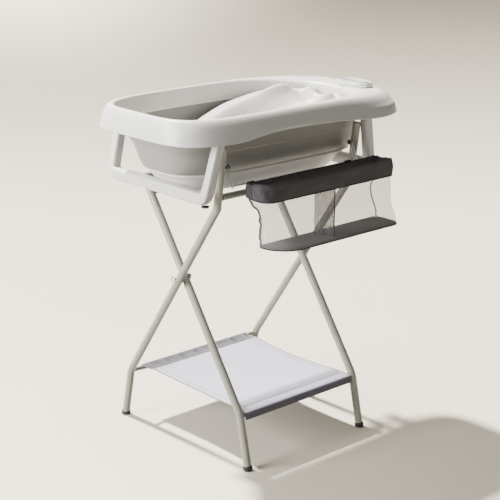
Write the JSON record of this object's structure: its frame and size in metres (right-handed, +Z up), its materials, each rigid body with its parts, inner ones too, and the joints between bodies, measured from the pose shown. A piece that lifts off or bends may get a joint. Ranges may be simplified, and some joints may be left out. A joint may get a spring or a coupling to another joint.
{
  "type": "changing table",
  "caption": "Folding baby bathing and changing stand: scissor leg frame under a collapsible tub with a sloped bath insert, a hanging organizer and a cloth shelf.",
  "frame": {"origin": "on the floor under the centre of the bounding box", "axes": "+X from the foot end of the tub to its head end, -Y to the front where the organizer hangs, +Z up"},
  "size_m": [0.832, 0.5866, 0.9759],
  "materials": {
    "white_plastic": "semi-gloss moulded",
    "tube_paint": "satin silver-grey powder coat",
    "black_rubber": "matte moulded",
    "steel": "plain wire and bolt heads",
    "grey_elastomer": "matte soft-touch moulding",
    "shelf_cloth": "woven lavender-grey cloth",
    "organizer_cloth": "dark woven cloth with bound edges",
    "mesh_cloth": "pale open mesh with dark binding"
  },
  "bodies": {
    "cradle": {"corner_plug_left": "black_rubber", "corner_plug_right": "black_rubber", "end_frame_left": "white_plastic", "end_frame_right": "white_plastic", "front_post_left": "tube_paint", "front_post_right": "tube_paint", "front_rail": "tube_paint", "peg_left": "black_rubber", "peg_right": "black_rubber", "rear_rail": "tube_paint"},
    "legs_outer": {"outer_foot_left": "black_rubber", "outer_foot_right": "black_rubber", "outer_leg_left": "tube_paint", "outer_leg_right": "tube_paint", "pivot_bolt_left": "steel", "pivot_bolt_right": "steel", "pivot_spacer_left": "white_plastic", "pivot_spacer_right": "white_plastic", "shelf_rod_back": "tube_paint"},
    "legs_inner": {"inner_foot_left": "black_rubber", "inner_foot_right": "black_rubber", "inner_leg_left": "tube_paint", "inner_leg_right": "tube_paint", "inner_top_tube": "tube_paint", "pivot_nut_left": "white_plastic", "pivot_nut_right": "white_plastic", "rear_hook_left": "white_plastic", "rear_hook_right": "white_plastic", "shelf_rod_front": "tube_paint", "shelf": "shelf_cloth"},
    "tub": {"tub_rim": "white_plastic", "tub_band": "grey_elastomer", "soap_dish": "white_plastic"},
    "tub_floor": {"tub_base": "white_plastic"},
    "plug": {"drain_plug": "grey_elastomer"},
    "insert": {"bath_insert": "white_plastic"},
    "soap_holder": {"soap_tray": "grey_elastomer"},
    "organizer": {"hang_tab_left": "organizer_cloth", "hang_tab_right": "organizer_cloth", "link_left": "steel", "link_right": "steel", "organizer_bag": "mesh_cloth", "organizer_band": "organizer_cloth", "organizer_divider": "mesh_cloth", "organizer_wire": "steel"}
  },
  "joints": [
    {"name": "leg_fold", "type": "hinge", "parent": "cradle", "child": "legs_outer", "pos_m": [-0.033, -0.1533, 0.722], "axis": [-1, 0, 0], "range_deg": [0, 28]},
    {"name": "scissor_pivot", "type": "hinge", "parent": "legs_outer", "child": "legs_inner", "pos_m": [-0.033, 0.02096, 0.48701], "axis": [1, 0, 0], "range_deg": [0, 56], "deforming": ["shelf"]},
    {"name": "tub_lift", "type": "slide", "parent": "cradle", "child": "tub", "axis": [0, 0, 1], "range_m": [0, 0.12]},
    {"name": "tub_collapse", "type": "slide", "parent": "tub", "child": "tub_floor", "axis": [0, 0, 1], "range_m": [0, 0.1], "deforming": ["tub_band"]},
    {"name": "plug_pull", "type": "slide", "parent": "tub_floor", "child": "plug", "axis": [0, 0, 1], "range_m": [0, 0.03]},
    {"name": "insert_lift", "type": "slide", "parent": "tub_floor", "child": "insert", "axis": [0, 0, 1], "range_m": [0, 0.15]},
    {"name": "soap_tray_lift", "type": "slide", "parent": "tub", "child": "soap_holder", "axis": [0, 0, 1], "range_m": [0, 0.04]},
    {"name": "organizer_swing", "type": "hinge", "parent": "cradle", "child": "organizer", "pos_m": [-0.033, -0.1703, 0.834], "axis": [-1, 0, 0], "range_deg": [0, 25]}
  ],
  "couplings": [
    {"joint": "scissor_pivot", "follows": "leg_fold", "ratio": 2}
  ]
}
